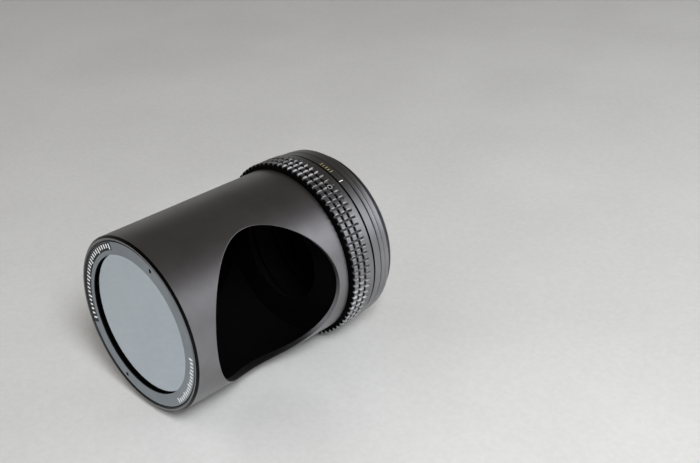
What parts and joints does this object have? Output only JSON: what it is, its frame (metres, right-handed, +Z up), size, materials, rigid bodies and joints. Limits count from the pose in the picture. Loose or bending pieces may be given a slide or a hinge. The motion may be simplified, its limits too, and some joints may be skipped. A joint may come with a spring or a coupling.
{
  "type": "right-angle mirror attachment for a camera lens",
  "caption": "Black metal tube that screws onto a camera lens and looks sideways: round window in its wall, 45 degree mirror inside, decoy front glass, knurled swivel mount.",
  "frame": {"origin": "on the optical axis, at the rear seating shoulder that stops against the rim of the camera lens", "axes": "+Y along the optical axis toward the camera lens, decoy front end toward -Y, side window toward +X, +Z up"},
  "size_m": [0.0724, 0.0967, 0.0724],
  "materials": {
    "tube_anodised": "satin black anodised, finely turned",
    "ring_satin_black": "satin black anodised",
    "grip_anodised": "black anodised knurl with bright worn edges",
    "base_anodised": "satin black anodised, turned",
    "decoy_coating": "polished, faintly blue-grey mirror coating",
    "mirror_silver": "polished first-surface mirror",
    "matte_black": "dead matte black",
    "foam_pad": "matte black adhesive foam",
    "screw_black": "black oxide steel",
    "set_screw_steel": "bright zinc plated steel",
    "spring_steel": "spring steel",
    "washer_ptfe": "off-white low-friction plastic"
  },
  "bodies": {
    "mount": {"grip_ring": "grip_anodised", "set_screw_1": "set_screw_steel", "set_screw_2": "set_screw_steel", "set_screw_3": "set_screw_steel", "thrust_washer": "washer_ptfe", "wave_washer": "spring_steel", "base_ring": "base_anodised", "step_ring": "base_anodised", "rear_baffle": "matte_black"},
    "barrel": {"barrel_tube": "tube_anodised", "front_ring": "ring_satin_black", "decoy_glass": "decoy_coating", "glass_snap_ring": "spring_steel", "light_shield_disc": "matte_black", "mirror_cradle": "matte_black", "mirror": "mirror_silver", "mirror_bonding_pad": "foam_pad", "cradle_screw_1": "screw_black", "cradle_screw_2": "screw_black", "cradle_screw_3": "screw_black", "swivel_hub": "ring_satin_black"}
  },
  "joints": [
    {"name": "barrel_swivel", "type": "hinge", "parent": "mount", "child": "barrel", "pos_m": [0, -0.0172, 0], "axis": [0, 1, 0], "continuous": true}
  ]
}
